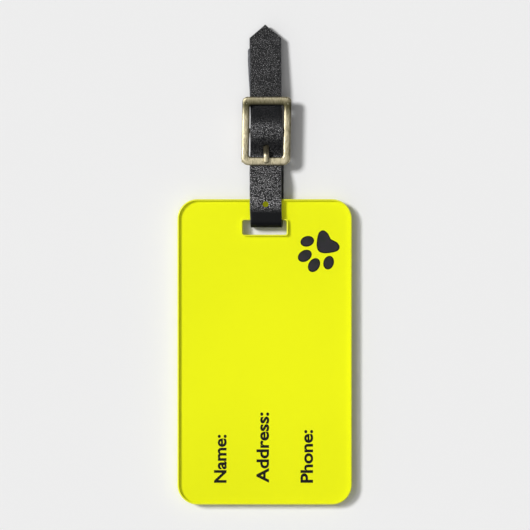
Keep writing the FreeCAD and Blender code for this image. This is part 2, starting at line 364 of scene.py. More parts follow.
class Route:
    """The middle line of the whole strip in side view, read by its length from the flap's end."""

    def __init__(self):
        far = BAR_REACH + WRAP_R
        rise = FLAP_OFFSET * math.hypot(1, BACK_SLOPE)
        lift = BACK_LIFT - (rise - FLAP_OFFSET) / BACK_SLOPE
        route = [
            ((FLAP_END, BACK_Z + FLAP_OFFSET), 0),
            ((lift, BACK_Z + FLAP_OFFSET), 5.0),
            ((15.2, BACK_Z + rise + BACK_SLOPE * (15.2 - BACK_LIFT)), 4.0),
            ((19.0, BAR.z + WRAP_R), 1.5),
            ((far, BAR.z + WRAP_R), WRAP_R),
            ((far, BAR.z - WRAP_R), WRAP_R),
            ((WRAP_START, BAR.z - WRAP_R), 2.0),
            ((BACK_LIFT, BACK_Z), 6.0),
            ((BEND, BACK_Z), 1.3),
            ((BEND, FRONT_Z), 1.3),
            ((0.5, FRONT_Z), 6.0),
            ((5.2, FRONT_Z + 0.42), 4.0),
            ((9.2, UNDER_BAR_Z), 3.0),
            ((12.9, UNDER_BAR_Z), 3.0),
            ((18.6, CREST_Z), 2.0),
            ((21.2, CREST_Z), 2.0),
            ((27.2, UNDER_BAR_Z), 3.0),
            ((32.5, UNDER_BAR_Z), 20.0),
            ((TIP - TOP, TIP_Z), 0),
        ]
        rough = rounded_route([p for p, _ in route], [r for _, r in route[1:-1]])
        along = np.concatenate([[0], np.cumsum(np.linalg.norm(np.diff(rough, axis=0), axis=1))])
        self.length = along[-1]
        self.s = np.arange(0, self.length, STATION / 2)
        line = np.stack([np.interp(self.s, along, rough[:, k]) for k in (0, 1)], axis=1)
        kernel = np.exp(-0.5 * (np.arange(-6, 7) * STATION / 2 / 0.22) ** 2)
        kernel /= kernel.sum()
        padded = np.pad(line, ((6, 6), (0, 0)), mode="reflect", reflect_type="odd")
        self.line = np.stack([np.convolve(padded[:, k], kernel, "valid") for k in (0, 1)], axis=1)
        tangent = np.gradient(self.line, axis=0)
        tangent /= np.linalg.norm(tangent, axis=1)[:, None]
        self.normal = np.stack([-tangent[:, 1], tangent[:, 0]], axis=1)
        self.bend = int(np.argmin(self.line[:, 0]))
        self.wrap = int(np.argmax(self.line[:self.bend, 0]))

    def front_length(self, reach):
        """Length along the strip at which its front run passes a reach."""
        return float(np.interp(reach, self.line[self.bend:, 0], self.s[self.bend:]))

    def back_length(self, reach):
        """The same for the back run under the card."""
        run = slice(self.wrap, self.bend)
        return float(np.interp(-reach, -self.line[run, 0], self.s[run]))

    def place(self, flat):
        """Bends flat points (across, along, up) onto the route."""
        across, along, up = flat[:, 0], flat[:, 1], flat[:, 2]
        y, z, ny, nz = (np.interp(along, self.s, a) for a in
                        (self.line[:, 0], self.line[:, 1], self.normal[:, 0], self.normal[:, 1]))
        return np.stack([STRAP_X + across, TOP + y + ny * up, z + nz * up], axis=1)


ROUTE = Route()
S_PRONG = [ROUTE.front_length(r) for r in PRONG_HOLE_TOP]
S_UNDER = [ROUTE.front_length(r) for r in PRONG_HOLE_UNDER]
S_SPARE = ROUTE.front_length(SPARE_HOLE_REACH)
S_TAIL = ROUTE.front_length(TAIL_START)
S_BEND = float(ROUTE.s[ROUTE.bend])
S_WRAP = float(ROUTE.s[ROUTE.wrap])
S_SHOULDER = ROUTE.length - TIP_POINT
DRIFT_PLACES = (
    (0.0, 0.1), (S_WRAP, 0.1), (ROUTE.back_length(9.0), 0.5), (ROUTE.back_length(0.0), 0.5),
    (S_BEND, 0.1), (ROUTE.front_length(-3.0), -0.15), (ROUTE.front_length(8.0), -0.22),
    (ROUTE.front_length(14.0), 0.0), (ROUTE.front_length(24.0), 0.05), (S_TAIL, -0.1),
    (ROUTE.length, -0.28),
)


def smooth_step(x, low, high):
    """Rises softly from 0 at low to 1 at high."""
    t = np.clip((x - low) / (high - low), 0, 1)
    return t * t * (3 - 2 * t)


def bump_at(along, place, width):
    """A soft hump of height 1."""
    return np.exp(-((along - place) / width) ** 2)


def strip_section(half, edge_round=0.27, columns=30):
    """The strip's section as (across, up) with up from -1 to 1, anticlockwise from low left."""
    flat = np.linspace(-1, 1, columns + 1) * (half - edge_round)
    section = [(x, -1.0) for x in flat]
    for k in range(1, 8):
        a = -math.pi / 2 + math.pi * k / 8
        section.append((half - edge_round + edge_round * math.cos(a) ** 0.8, math.sin(a)))
    section += [(x, 1.0) for x in flat[::-1]]
    for k in range(1, 8):
        a = math.pi / 2 + math.pi * k / 8
        section.append((-half + edge_round - edge_round * abs(math.cos(a)) ** 0.8, math.sin(a)))
    return section


def strip_shape(flat):
    """Gives a flat strip its thickness, hole rims, stitch dents, soft edges and drift."""
    across, along, up = flat[:, 0].copy(), flat[:, 1], flat[:, 2].copy()
    skived = 1 - smooth_step(along, S_WRAP + SKIVE[0], S_WRAP + SKIVE[1])
    half_t = (STRAP_T + (FOLD_T - STRAP_T) * skived) / 2
    grain = up > 0
    edge = np.abs(across) / STRAP_HALF
    up = up * half_t * (1 - EDGE_THIN * np.clip(edge, 0, 1) ** 6)
    tail = smooth_step(along, S_TAIL, S_TAIL + 4)
    up -= EDGE_SAG * edge ** 2 * (1 - tail) * (along > S_BEND)
    prong_run = (S_PRONG[0] + PRONG_HOLE_HALF, S_PRONG[1] - PRONG_HOLE_HALF)
    for s0, s1, r in ((S_SPARE, S_SPARE, SPARE_HOLE_R), (*prong_run, PRONG_HOLE_HALF)):
        ahead = np.maximum(np.maximum(s0 - along, along - s1), 0)
        gap = np.hypot(across, ahead) - r
        up -= np.where(grain, RIM_DENT, -RIM_SWELL) * np.exp(-np.clip(gap, 0, 9) / RIM_WIDTH)
    for reach in STITCH_REACHES:
        for x in STITCH_XS:
            s = ROUTE.back_length(reach)
            far = np.hypot(np.maximum(np.abs(across - x) - STITCH_HALF + 0.2, 0), along - s)
            up -= np.where(grain, STITCH_DENT, 0) * np.exp(-(far / STITCH_DENT_R) ** 2)
    wave = sum(height * np.sin(along * rate + phase * np.sign(across))
               for height, rate, phase in EDGE_WAVES)
    across += wave * np.clip((edge - 0.7) / 0.3, 0, 1)
    lip = smooth_step(along, *(S_SHOULDER - d for d in TAIL_LIP_GROWS))
    lip *= 1 - smooth_step(along, *(S_SHOULDER - d for d in TAIL_LIP_ENDS))
    across -= TAIL_LIP * lip * (across < -STRAP_HALF * 0.93) * (up < 0.1)
    bulge = bump_at(along, ROUTE.front_length(BAR_REACH - 0.1), CREST_BULGE_WIDTH)
    across += CREST_BULGE * bulge * (across > STRAP_HALF * 0.85)
    places, drift = zip(*DRIFT_PLACES)
    across += np.interp(along, places, drift)
    return np.stack([across, along, up], axis=1)


def handled(flat):
    """How light the grain's tops are and how pebbled the grain is along the strap. The tone carries
    painted highlights on the front run, over the spare hole and on the crest, and painted shade
    between the buckle's bars and round the bend, where the grain is also drawn smooth."""
    along = flat[:, 1]
    reach = ROUTE.front_length
    grain_tone_and_painted_light = np.full(len(along), GREY_BASE)
    for place, width, amount in PAINTED_HIGHLIGHT_BANDS:
        grain_tone_and_painted_light += amount * bump_at(along, reach(place), width)
    pebble = np.full(len(along), 1.0)
    window = smooth_step(along, *map(reach, WINDOW_STARTS))
    window -= smooth_step(along, *map(reach, WINDOW_ENDS))
    # Painted shade between the buckle's bars, with a painted highlight on the crest.
    place, width, amount = CREST_PAINTED_HIGHLIGHT
    crest = bump_at(along, reach(place), width)
    grain_tone_and_painted_light += window * (amount * crest - WINDOW_PAINTED_SHADE)
    pebble -= WINDOW_SMOOTH * window * (1 - crest)
    front = smooth_step(along, *map(reach, BEND_FADES))
    # Painted shade round the bend, where the grain is also smoothed.
    pulled_smooth_and_shaded = (1 - front) * smooth_step(along, S_WRAP, S_WRAP + 12)
    grain_tone_and_painted_light *= 1 - pulled_smooth_and_shaded
    pebble *= 1 - BEND_SMOOTH * pulled_smooth_and_shaded
    return np.clip(grain_tone_and_painted_light, 0, 2), np.clip(pebble, 0, 1)


def capsule_cutter(top, under, half):
    """A closed upright cutter with round ends. Its ends may lean along the flat strip."""
    reach = 1.3
    loops = []
    for side in (-reach, reach):
        ends = [(t + u) / 2 + side * (t - u) / 2 for t, u in zip(top, under)]
        r = min(half, (ends[1] - ends[0]) / 2) * 0.98
        outline = rounded_rectangle(-half, half, *ends, (r, r))
        loops.append([(x, y, side) for x, y in outline])
    return loft("cutter", loops)


def leather_strip(name, s0, s1, cutters):
    """One length of the strap: flat strip, holes, shape, then bent onto the route."""
    count = max(2, int((s1 - s0) / STATION))
    section = strip_section(STRAP_HALF)[::-1]
    loops = []
    for s in np.linspace(s0, s1, count + 1):
        narrow = 1.0
        if s > S_SHOULDER:
            narrow = max(0.05, 1 - (s - S_SHOULDER) / TIP_POINT)
        loops.append([(x * narrow, s, z) for x, z in section])
    strip = loft(name, loops)
    for cutter in cutters:
        cut(strip, cutter)
    mesh = strip.data
    flat = points_of(mesh)
    normals = np.array([p.normal[:] for p in mesh.polygons])
    side = np.abs(normals[:, 2]) < 0.6
    finish = np.where(side, 1, np.where(normals[:, 2] < 0, 2, 0))
    # Darker toward the strap's edges.
    tone_change = np.clip((np.abs(flat[:, 0]) / STRAP_HALF - 0.86) / 0.14, 0, 1)
    # The tone carries painted highlights and painted shade along the strap.
    grain_tone_and_painted_light, pebble = handled(flat)
    for key, values in (("edge_darkening", tone_change), ("grain_tone_and_painted_light", grain_tone_and_painted_light), ("pebble", pebble)):
        point_values(mesh, key, values)
    bent = ROUTE.place(strip_shape(flat)) * MM
    mesh.vertices.foreach_set("co", bent.ravel())
    mesh.polygons.foreach_set("material_index", finish.astype(np.int32))
    shade_smooth(mesh)
    mesh.set_sharp_from_angle(angle=math.radians(50))
    mesh.update()
    for material in (LEATHER, LEATHER_EDGE, LEATHER_BACK):
        mesh.materials.append(material)
    return strip


def make_strap():
    """The strap as two strips that meet in the tail."""
    round_hole = (S_SPARE - SPARE_HOLE_R, S_SPARE + SPARE_HOLE_R)
    spare = capsule_cutter(round_hole, round_hole, SPARE_HOLE_R)
    prong_hole = capsule_cutter(S_PRONG, S_UNDER, PRONG_HOLE_HALF)
    slit_ends = (6.0, S_WRAP + WRAP_R * 1.57 + 1.5)
    slit = capsule_cutter(slit_ends, slit_ends, SLIT_HALF)
    main = leather_strip("strap_leather", 0.0, S_TAIL, [spare, prong_hole, slit])
    tail = leather_strip("strap_tail_leather", S_TAIL, ROUTE.length, [])
    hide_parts("strap_fold", "strap_front", "strap_loop")
    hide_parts("strap_tail")
    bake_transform(main)
    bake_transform(tail)


def thread_stitch(x, reach, z_face, side):
    """Two twisted strands that dive into the leather at both ends."""
    strands = []
    for phase in (0, math.pi):
        loops = []
        for k in range(25):
            t = k / 24
            dive = STITCH_DIVE * (abs(2 * t - 1) ** 6)
            twist = phase + t * TWIST_TURNS * math.pi * 2
            y = TOP + reach + TWIST_R * math.cos(twist)
            z = z_face + side * (-0.02 - dive + TWIST_R * math.sin(twist))
            cx = STRAP_X + STITCH_DRIFT + x + (2 * t - 1) * STITCH_HALF
            ring = []
            for j in range(10):
                a = 2 * math.pi * j / 10
                ring.append((cx, y + THREAD_R * math.cos(a), z + THREAD_R * math.sin(a)))
            loops.append(ring)
        strands.append(loft("strand", loops))
    return strands


def make_stitches():
    """Six stitches through the folded end, seen on both of its faces."""
    strands = []
    over = BACK_Z + FLAP_OFFSET + FOLD_T / 2
    for reach in STITCH_REACHES:
        for x in STITCH_XS:
            low = BACK_SLOPE * max(0, reach - BACK_LIFT)
            strands += thread_stitch(x, reach, low + THREAD_SINK_UNDER, -1)
            strands += thread_stitch(x, reach, low + over - THREAD_SINK_OVER, 1)
    stitches = merge_objects("fold_thread", strands)
    stitches.data.materials.append(THREAD)
    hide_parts("fold_stitches")
    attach(stitches, "strap_top")


# ---------------------------------------------------------------- buckle

def squared(value, power):
    """Pushes a sine or cosine outward, so that a circle becomes a softly squared section."""
    return math.copysign(abs(value) ** power, value)


def frame_bars(outline, window, mid_z):
    """The frame's four bars: a softly squared section swept round its window."""
    outer = rounded_rectangle(*outline, FRAME_CORNERS, 14)
    inner = rounded_rectangle(*window, WINDOW_CORNERS, 14)
    loops = []
    for (ox, oy), (ix, iy) in zip(outer, inner):
        ring = []
        for k in range(36):
            a = 2 * math.pi * k / 36
            t = 0.5 + 0.5 * squared(math.cos(a), FRAME_SQUARE)
            ring.append((ix + (ox - ix) * t, iy + (oy - iy) * t,
                         mid_z + FRAME_T / 2 * squared(math.sin(a), FRAME_SQUARE)))
        loops.append(ring)
    return loft("bars", loops + loops[:1], caps=False)


def frame_cheek(x, mid_z):
    """The deep side under one rail, with the round ear that holds the centre bar."""
    outline = [(BAR.y + CHEEK_TOP, mid_z), (BAR.y - CHEEK_TOP, mid_z), (BAR.y - CHEEK, BAR.z + 0.1)]
    for k in range(13):
        a = math.pi + math.pi * k / 12
        outline.append((BAR.y + EAR_R * math.cos(a), BAR.z + EAR_R * math.sin(a)))
    outline.append((BAR.y + CHEEK, BAR.z + 0.1))
    return loft("ear", [[(x + dx, y, z) for y, z in outline] for dx in (0, RAIL_W - 0.12)])


def tone_and_painted_light_across(distance, width, tone_change):
    """A bar's tone, with its painted light and shade, at a distance from one of its edges."""
    gain, base = tone_change
    return np.clip(distance / width, 0, 1) * gain + base


def frame_tone_and_painted_light(x, y, window):
    """How bright the frame's brass is, from 0 in the dark patina to 1 on bare brass. Painted shade
    darkens the top and low bars toward the window, and painted light brightens each rail's left
    side.
    """
    top_bar = tone_and_painted_light_across(y - window[3], TOP_BAR_W, TOP_TONE_AND_PAINTED_SHADE)
    low_bar = tone_and_painted_light_across(window[2] - y, LOW_BAR_W, LOW_TONE_AND_PAINTED_SHADE)
    left = tone_and_painted_light_across(window[0] - x, RAIL_W, LEFT_TONE_AND_PAINTED_LIGHT)
    right = tone_and_painted_light_across(window[1] + RAIL_W - x, RAIL_W, RIGHT_TONE_AND_PAINTED_LIGHT)
    rails = np.where(x < BAR.x, left, right)
    at_top = smooth_step(y, window[3] - 4.5, window[3] + 0.8)
    at_low = 1 - smooth_step(y, window[2] - 0.5, window[2] + 1.0)
    return np.clip(rails + at_top * (top_bar - rails) + at_low * (low_bar - rails), 0, 1)


def make_frame():
    """Cast frame: four bars, two cheeks with ears, and the centre bar's bores."""
    x0, x1 = FRAME_LOW.x - FRAME_OUT[0], FRAME_HIGH.x + FRAME_OUT[1]
    y0, y1 = FRAME_LOW.y - FRAME_OUT[2], FRAME_HIGH.y
    mid_z = FRAME_TOP_Z - FRAME_T / 2
    window = (x0 + RAIL_W, x1 - RAIL_W, y0 + LOW_BAR_W, y1 - TOP_BAR_W)
    pieces = [frame_bars((x0, x1, y0, y1), window, mid_z)]
    pieces += [frame_cheek(x, mid_z) for x in (x0 + 0.08, x1 - RAIL_W + 0.04)]
    cast = cast_solid(merge_objects("buckle_frame_cast", pieces), voxel=0.1, rounds=3)
    cut(cast, cylinder_across(BAR_R + EAR_PLAY, x1 - x0 + 4, BAR.y, BAR.z, BAR.x))
    co = points_of(cast.data)
    # The frame's painted shade and light, kept in the brass's tone.
    point_values(cast.data, "brass_tone_and_painted_light", frame_tone_and_painted_light(co[:, 0], co[:, 1], window))
    co[:, 0] += FRAME_LEAN * (co[:, 1] - BAR.y)
    cast.data.vertices.foreach_set("co", (co * MM).ravel())
    finish_cast(cast, "buckle_frame", "buckle")


def finish_cast(cast, node, body):
    """Gives a casting its brass and puts it in its node's place."""
    cast.data.set_sharp_from_angle(angle=math.radians(45))
    cast.data.materials.clear()
    cast.data.materials.append(BRASS)
    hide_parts(node)
    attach(cast, body)


def make_prong():
    """Cast prong: an eye round the bar, a low stem, a rise and a rounded tip on the low bar."""
    rest_z = PRONG_HIGH.z - PRONG_T / 2
    tip = (PRONG_LOW.y - TOP, rest_z - 0.1)
    stem = rounded_route(
        [(BAR_REACH - 0.6, BAR.z), (15.8, BAR.z + 0.25), (12.9, rest_z), tip], [1.0, 1.1])
    along = np.concatenate([[0], np.cumsum(np.linalg.norm(np.diff(stem, axis=0), axis=1))])
    stations = np.linspace(0, along[-1], 70)
    line = np.stack([np.interp(stations, along, stem[:, k]) for k in (0, 1)], axis=1)
    tangent = np.gradient(line, axis=0)
    tangent /= np.linalg.norm(tangent, axis=1)[:, None]
    half_w = (PRONG_HIGH.x - PRONG_LOW.x) / 2
    loops = []
    for i, (point, t) in enumerate(zip(line, tangent)):
        f = i / (len(line) - 1)
        end = math.sqrt(max(0.0, 1 - max(0, (f - 0.94) / 0.06) ** 2)) * 0.93 + 0.07
        ring = []
        for k in range(20):
            a = 2 * math.pi * k / 20
            c = squared(math.cos(a), PRONG_SQUARE) * (half_w - 0.05 * f) * end
            s = squared(math.sin(a), PRONG_SQUARE) * (PRONG_T / 2 - 0.03) * end
            ring.append((BAR.x + c, TOP + point[0] - t[1] * s, point[1] + t[0] * s))
        loops.append(ring)
    eye = cylinder_across(EYE_R, 2 * half_w, BAR.y, BAR.z, BAR.x)
    whole = merge_objects("buckle_prong_cast", [loft("stem", loops), eye])
    cast = cast_solid(whole, voxel=0.08, rounds=4)
    cut(cast, cylinder_across(BAR_R + EYE_PLAY, 4, BAR.y, BAR.z, BAR.x))
    point_values(cast.data, "brass_tone_and_painted_light", np.full(len(cast.data.vertices), PRONG_RUB))
    finish_cast(cast, "buckle_prong", "prong")


# ---------------------------------------------------------------- card

def card_outline(inset):
    """The card's rounded outline, drawn in by a distance."""
    r = CARD_CORNER - inset
    return rounded_rectangle(CARD_LOW.x + inset, CARD_HIGH.x - inset,
                             CARD_LOW.y + inset, CARD_HIGH.y - inset, (r, r), 16)


def slot_outline(grow):
    """The strap slot's outline, widened by a distance."""
    r = SLOT_CORNER + grow
    y1 = TOP + SLOT_REACH
    return rounded_rectangle(-SLOT_HALF_W - grow, SLOT_HALF_W + grow,
                             y1 - SLOT_H - grow, y1 + grow, (r, r), 8)


def edge_profile(z_in, z_out, radius, crisp=0.06, steps=7):
    """(inset, z) from the inner face round to the outer face, whose edge is rounded."""
    up = 1 if z_out > z_in else -1
    profile = [(2 * crisp, z_in), (crisp, z_in), (0, z_in + up * crisp)]
    for k in range(steps + 1):
        a = math.pi / 2 * k / steps
        profile.append((radius * (1 - math.cos(a)), z_out - up * radius * (1 - math.sin(a))))
    profile.append((radius + crisp, z_out))
    return profile


def edge_rings(bm, outline, profile):
    """Rings of points that follow an edge's profile, and the faces between them."""
    made = []
    for inset, z in profile:
        made.append([bm.verts.new((x * MM, y * MM, z * MM)) for x, y in outline(inset)])
    walls = []
    for a, b in zip(made, made[1:]):
        for k in range(len(a)):
            m = (k + 1) % len(a)
            walls.append(bm.faces.new((a[k], a[m], b[m], b[k])))
    return made, walls


def make_cover(name, node, z_in, z_out):
    """A clear cover with a rounded rim and a rounded slot."""
    bm = bmesh.new()
    rim, rim_faces = edge_rings(bm, card_outline, edge_profile(z_in, z_out, CARD_EDGE_ROUND))
    slot, slot_faces = edge_rings(bm, slot_outline, edge_profile(z_in, z_out, SLOT_EDGE_ROUND))
    wall = abs(z_out - z_in) - 0.8 * CARD_EDGE_ROUND
    for face in rim_faces + slot_faces:
        face.material_index = 1 if abs(face.calc_center_median().z / MM - z_in) < wall else 2
    for end in (0, -1):
        edges = []
        for ring in (rim[end], slot[end]):
            for k in range(len(ring)):
                edges.append(bm.edges.get((ring[k], ring[(k + 1) % len(ring)])))
        bmesh.ops.triangle_fill(bm, use_beauty=True, use_dissolve=False, edges=edges)
    bmesh.ops.recalc_face_normals(bm, faces=bm.faces)
    mesh = built_mesh(name, bm)
    shade_smooth(mesh)
    cover = linked_object(name, mesh)
    for material in (ACRYLIC, ACRYLIC_EDGE, ACRYLIC_RIM):
        mesh.materials.append(material)
    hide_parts(node)
    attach(cover, "card")


def flat_piece(name, outlines, z, material):
    """Thin printed shapes, each filled from its outline."""
    bm = bmesh.new()
    for outline in outlines:
        bm.faces.new([bm.verts.new((x * MM, y * MM, z * MM)) for x, y in outline])
    bmesh.ops.triangulate(bm, faces=bm.faces)
    mesh = built_mesh(name, bm)
    mesh.materials.append(material)
    piece = linked_object(name, mesh)
    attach(piece, "card")


# The paw in its own frame: half of the pad's outline (ahead, aside), then each pair of toes as
# its place (ahead, aside), its tilt in degrees and its two radii.
PAW_AT = Vector((19.3, TOP - 11.6))
PAW_HEADING = math.radians(225)
PAD_HALF = ((-0.15, 0.6), (-0.55, 1.95), (-0.25, 3.35), (1.05, 3.8), (2.9, 2.8), (4.45, 1.4))
TOES = ((5.35, 4.4, 29, 2.02, 1.53), (8.85, 1.9, 13, 2.18, 1.62))
PAW_RIM = 0.34


def oval(a, b, tilt, long_r, short_r):
    """A tilted oval round a point."""
    ring = []
    for k in range(48):
        u = 2 * math.pi * k / 48
        p = Vector((long_r * math.cos(u), short_r * math.sin(u)))
        p.rotate(Matrix.Rotation(math.radians(tilt), 2))
        ring.append(Vector((a, b)) + p)
    return ring


def paw_outlines(shrink):
    """A plain paw mark in the card's plane: one pad and four oval toes, alike on both sides."""
    pad = [(0.0, 0.0)] + list(PAD_HALF) + [(5.05, 0.0)]
    pad += [(a, -b) for a, b in reversed(PAD_HALF)]
    curve = [Vector(p) for p in closed_spline(pad, 8)]
    inner = []
    for before, point, after in zip(curve[-1:] + curve, curve, curve[1:] + curve[:1]):
        along = (after - before).normalized()
        inner.append(point + Vector((along.y, -along.x)) * shrink)
    shapes = [inner]
    for a, b, tilt, long_r, short_r in TOES:
        for side in (1, -1):
            shapes.append(oval(a, side * b, side * tilt, long_r - shrink, short_r - shrink))
    ahead = Vector((math.cos(PAW_HEADING), math.sin(PAW_HEADING)))
    aside = Vector((ahead.y, -ahead.x))
    return [[tuple(PAW_AT + ahead * p.x + aside * p.y) for p in shape] for shape in shapes]


# Each label's words, the X of its baseline and its length
LABELS = (("Name:", -11.25, 14.0), ("Address:", 1.12, 20.5), ("Phone:", 13.93, 15.4))
LABEL_START = -82.6
LABEL_CAP = 3.6
FONT_CAP = 0.73
LABEL_BOLD = 0.028


def make_label(text, baseline, length):
    """A field label in the built-in letters, bold, reading up the card."""
    curve = bpy.data.curves.new("label", "FONT")
    curve.body = text
    curve.size = 1.0
    curve.offset = LABEL_BOLD
    curve.fill_mode = "FRONT"
    curve.resolution_u = 6
    holder = linked_object("label", curve)
    mesh = evaluated_mesh(holder)
    bpy.data.objects.remove(holder)
    co = np.array([v.co[:] for v in mesh.vertices])
    low, high = co.min(axis=0), co.max(axis=0)
    along = (co[:, 0] - low[0]) / (high[0] - low[0]) * length
    up = co[:, 1] / FONT_CAP * LABEL_CAP
    placed = np.stack([baseline - up, TOP + LABEL_START + along,
                       np.full(len(co), PRINT_TOP + LABEL_LIFT)], axis=1) * MM
    mesh.vertices.foreach_set("co", placed.ravel())
    mesh.materials.clear()
    mesh.materials.append(INK)
    mesh.update()
    piece = linked_object("label_" + text.strip(":").lower(), mesh)
    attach(piece, "card")


def make_card():
    """Both clear covers and what is printed under the front one."""
    make_cover("card_front_cover", "front_cover", CARD_LOW.z, CARD_HIGH.z)
    make_cover("card_back_cover", "back_cover", BACK_HIGH.z, BACK_LOW.z)
    flat_piece("paw_rim", paw_outlines(0), PRINT_TOP + PAW_RIM_LIFT, INK)
    flat_piece("paw_fill", paw_outlines(PAW_RIM), PRINT_TOP + PAW_FILL_LIFT, PAW_FILL)
    for text, baseline, length in LABELS:
        make_label(text, baseline, length)


# ---------------------------------------------------------------- materials

class Shader:
    """A small helper to lay out one node material."""

    def __init__(self, name):
        self.material = bpy.data.materials.new(name)
        self.material.use_nodes = True
        self.tree = self.material.node_tree
        self.tree.nodes.clear()
        self.out = self.node("ShaderNodeOutputMaterial")
        self.place = self.node("ShaderNodeTexCoord").outputs["Object"]

    def node(self, kind, **settings):
        """A new node with its settings."""
        node = self.tree.nodes.new(kind)
        for key, value in settings.items():
            setattr(node, key, value)
        return node

    def link(self, a, b):
        """Joins an output to an input."""
        self.tree.links.new(a, b)

    def feed(self, socket, value):
        """Links an output to a socket, or sets the socket to a constant."""
        if hasattr(value, "links"):
            self.link(value, socket)
        else:
            socket.default_value = value

    def scaled(self, x, y=None, z=None):
        """Object coordinates in units of so many millimetres, alike each way if one is given."""
        y, z = y or x, z or x
        mapping = self.node("ShaderNodeMapping")
        mapping.inputs["Scale"].default_value = (1 / (x * MM), 1 / (y * MM), 1 / (z * MM))
        self.link(self.place, mapping.inputs["Vector"])
        return mapping.outputs["Vector"]

    def attribute(self, name):
        """A number that the mesh's points carry."""
        return self.node("ShaderNodeAttribute", attribute_name=name).outputs["Fac"]

    def noise(self, vector, detail=2.0, rough=0.5, distortion=0.0):
        """Soft noise from 0 to 1."""
        node = self.node("ShaderNodeTexNoise")
        self.link(vector, node.inputs["Vector"])
        node.inputs["Scale"].default_value = 1.0
        node.inputs["Detail"].default_value = detail
        node.inputs["Roughness"].default_value = rough
        node.inputs["Distortion"].default_value = distortion
        return node.outputs["Fac"]

    def ramp(self, value, low, high, to_low=0.0, to_high=1.0):
        """Maps a span of a value softly onto another span."""
        node = self.node("ShaderNodeMapRange", interpolation_type="SMOOTHSTEP")
        self.link(value, node.inputs["Value"])
        for key, number in zip(("From Min", "From Max", "To Min", "To Max"),
                               (low, high, to_low, to_high)):
            node.inputs[key].default_value = number
        return node.outputs["Result"]

    def math(self, operation, a, b):
        """The result of a sum on outputs or numbers."""
        node = self.node("ShaderNodeMath", operation=operation)
        self.feed(node.inputs[0], a)
        self.feed(node.inputs[1], b)
        return node.outputs[0]

    def mix(self, factor, a, b):
        """A colour between two, given as outputs or as three numbers."""
        node = self.node("ShaderNodeMix", data_type="RGBA")
        self.feed(node.inputs[0], factor)
        for socket, value in ((node.inputs[6], a), (node.inputs[7], b)):
            self.feed(socket, (*value, 1) if isinstance(value, tuple) else value)
        return node.outputs[2]

    def bump(self, height, depth):
        """A normal for relief of a depth in millimetres."""
        node = self.node("ShaderNodeBump")
        node.inputs["Strength"].default_value = 1.0
        node.inputs["Distance"].default_value = depth * MM
        self.link(height, node.inputs["Height"])
        return node.outputs["Normal"]

    def surface(self, **sockets):
        """Ends the material in a principled surface."""
        shader = self.node("ShaderNodeBsdfPrincipled")
        for key, value in sockets.items():
            self.feed(shader.inputs[key.replace("_", " ")], value)
        self.link(shader.outputs[0], self.out.inputs["Surface"])


GRAIN_SIZE = 0.42
GRAIN_WOBBLE = 0.7
# The print's painted glow: it gives off light of its own, standing in for light carried in the
# clear cover.
PRINT_PAINTED_GLOW = 0.12
SHEEN_FLAT = 0.03
SHEEN_GRAZING = 0.5


def leather_material():
    """Black pebbled leather: rounded grain cells, dark creases, greyed tops and darker edges, with
    the painted highlights and painted shade that the strap's points carry in their tone.
    """
    m = Shader("black_leather")
    wobble = m.node("ShaderNodeVectorMath", operation="MULTIPLY_ADD")
    drift = m.node("ShaderNodeTexNoise")
    m.link(m.scaled(0.9), drift.inputs["Vector"])
    drift.inputs["Scale"].default_value = 1.0
    m.link(drift.outputs["Color"], wobble.inputs[0])
    wobble.inputs[1].default_value = (GRAIN_WOBBLE,) * 3
    m.link(m.scaled(GRAIN_SIZE), wobble.inputs[2])
    cells = m.node("ShaderNodeTexVoronoi", feature="DISTANCE_TO_EDGE")
    cells.inputs["Scale"].default_value = 1.0
    m.link(wobble.outputs[0], cells.inputs["Vector"])
    dome = m.ramp(cells.outputs["Distance"], 0.0, 0.3)
    fine = m.noise(m.scaled(0.16), 3, 0.6)
    broad = m.noise(m.scaled(5), 2, 0.5)
    edge_darkening = m.attribute("edge_darkening")
    grain_tone_and_painted_light = m.attribute("grain_tone_and_painted_light")
    pebble = m.attribute("pebble")
    height = m.math("MULTIPLY", m.math("ADD", dome, m.math("MULTIPLY", fine, 0.55)), pebble)
    speck = m.ramp(fine, 0.42, 0.72)
    flecks = m.math("ADD", m.math("MULTIPLY", speck, 1.25), 0.36)
    tops = m.math("MULTIPLY", m.ramp(dome, 0.35, 1.0), flecks)
    # The points' tone lightens the grain's tops and carries painted highlights and painted shade.
    amount = m.math("MULTIPLY", tops, grain_tone_and_painted_light)
    uneven = m.math("MULTIPLY", amount, m.ramp(broad, 0.25, 0.75, 0.8, 1.2))
    color = m.mix(uneven, (0.005, 0.0055, 0.0065), (0.70, 0.69, 0.70))
    # Darker toward the strap's edges.
    edged = m.mix(m.math("MULTIPLY", edge_darkening, 0.2), color, (0.012, 0.012, 0.013))
    gloss = m.ramp(pebble, 0.0, 1.0, 0.12, 0.5)
    m.surface(Base_Color=edged, Roughness=0.33, Specular_IOR_Level=gloss,
              Normal=m.bump(height, 0.21))
    return m.material


def leather_edge_material():
    """The cut edge: dyed fibres, burnished, a little greyer than the grain."""
    m = Shader("leather_edge")
    fibres = m.noise(m.scaled(0.25, 1.2, 0.09), 3, 0.6)
    color = m.mix(m.ramp(fibres, 0.3, 0.7), (0.03, 0.03, 0.034), (0.16, 0.165, 0.185))
    m.surface(Base_Color=color, Roughness=0.6, Normal=m.bump(fibres, 0.05))
    return m.material


def leather_back_material():
    """The flesh side: short matted nap."""
    m = Shader("leather_back")
    nap = m.noise(m.scaled(0.12), 4, 0.7)
    cloud = m.noise(m.scaled(2.5), 2, 0.5)
    color = m.mix(m.ramp(m.math("ADD", nap, m.math("MULTIPLY", cloud, 0.6)), 0.5, 1.1),
                  (0.014, 0.014, 0.015), (0.055, 0.054, 0.054))
    m.surface(Base_Color=color, Roughness=0.85, Normal=m.bump(nap, 0.06))
    return m.material


